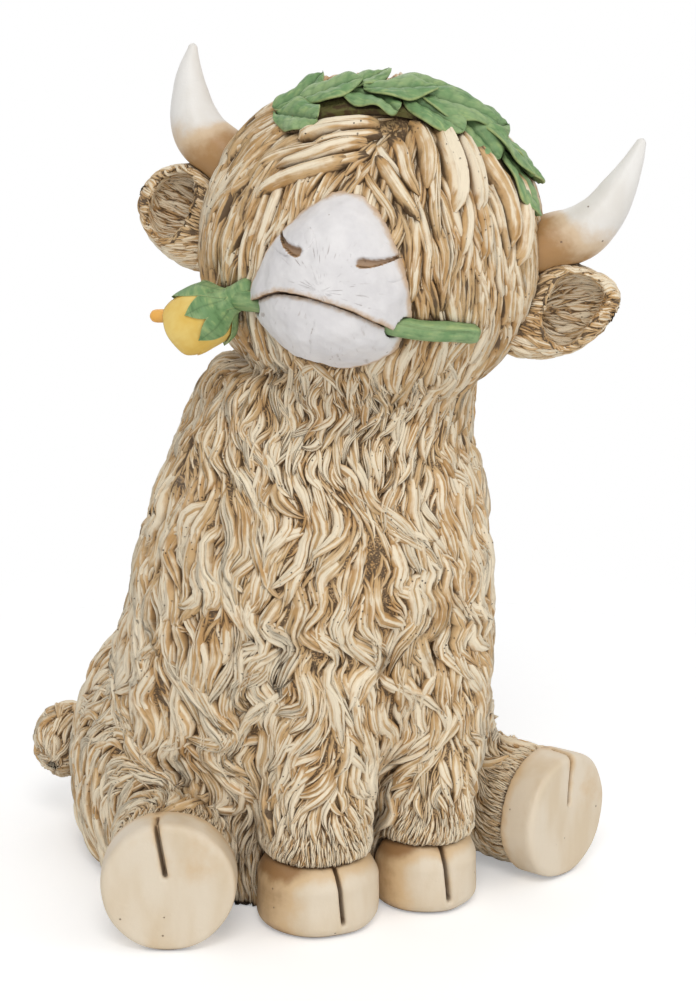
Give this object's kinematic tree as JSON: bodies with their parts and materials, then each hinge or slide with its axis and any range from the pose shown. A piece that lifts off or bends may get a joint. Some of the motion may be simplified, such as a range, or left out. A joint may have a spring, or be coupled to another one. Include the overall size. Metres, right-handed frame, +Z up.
{
  "type": "seated cow figurine",
  "caption": "Seated long-haired cow ornament in painted cast resin, head tilted, with curved horns, a leaf garland over the brow and a tulip held in the mouth.",
  "frame": {"origin": "on the resting plane, under the middle of the torso, on the underside of the base plate", "axes": "+Z up; the cow faces -Y and its own left side is +X"},
  "size_m": [0.1408, 0.1389, 0.2155],
  "materials": {
    "hair_cream": "matt paint, cream dry-brushed over a brown wash",
    "base_cream": "matt paint, plain cream",
    "horn_ivory": "satin paint, ivory with a brown stain at the root",
    "hoof_ivory": "satin paint, ivory with a tan stain",
    "muzzle_white": "matt white paint",
    "leaf_green": "satin paint, green with darker creases",
    "petal_yellow": "satin paint, yellow shading to orange at the tips"
  },
  "bodies": {
    "root": {"base_plate": "base_cream", "ear_left": "hair_cream", "ear_right": "hair_cream", "fore_hoof_left": "hoof_ivory", "fore_hoof_right": "hoof_ivory", "foreleg_left": "hair_cream", "foreleg_right": "hair_cream", "fringe_lock_01": "hair_cream", "fringe_lock_02": "hair_cream", "fringe_lock_03": "hair_cream", "fringe_lock_04": "hair_cream", "fringe_lock_05": "hair_cream", "fringe_lock_06": "hair_cream", "fringe_lock_07": "hair_cream", "fringe_lock_08": "hair_cream", "fringe_lock_09": "hair_cream", "fringe_lock_10": "hair_cream", "garland_band": "leaf_green", "garland_middle_leaf_01": "leaf_green", "garland_middle_leaf_02": "leaf_green", "garland_middle_leaf_03": "leaf_green", "garland_middle_leaf_04": "leaf_green", "garland_side_leaf_01": "leaf_green", "garland_side_leaf_02": "leaf_green", "garland_side_leaf_03": "leaf_green", "garland_side_leaf_04": "leaf_green", "garland_side_leaf_05": "leaf_green", "garland_side_leaf_06": "leaf_green", "garland_side_leaf_07": "leaf_green", "garland_side_leaf_08": "leaf_green", "garland_side_leaf_09": "leaf_green", "garland_side_leaf_10": "leaf_green", "head_shell": "hair_cream", "hind_hoof_left": "hoof_ivory", "hind_hoof_right": "hoof_ivory", "hind_leg_left": "hair_cream", "hind_leg_right": "hair_cream", "horn_left": "horn_ivory", "horn_right": "horn_ivory", "lower_lip": "muzzle_white", "muzzle": "muzzle_white", "tail": "hair_cream", "tail_tuft": "hair_cream", "torso_shell": "hair_cream", "tulip_heart": "petal_yellow", "tulip_petal_1": "petal_yellow", "tulip_petal_2": "petal_yellow", "tulip_petal_3": "petal_yellow", "tulip_sepals": "leaf_green", "tulip_stem": "leaf_green"}
  },
  "joints": []
}
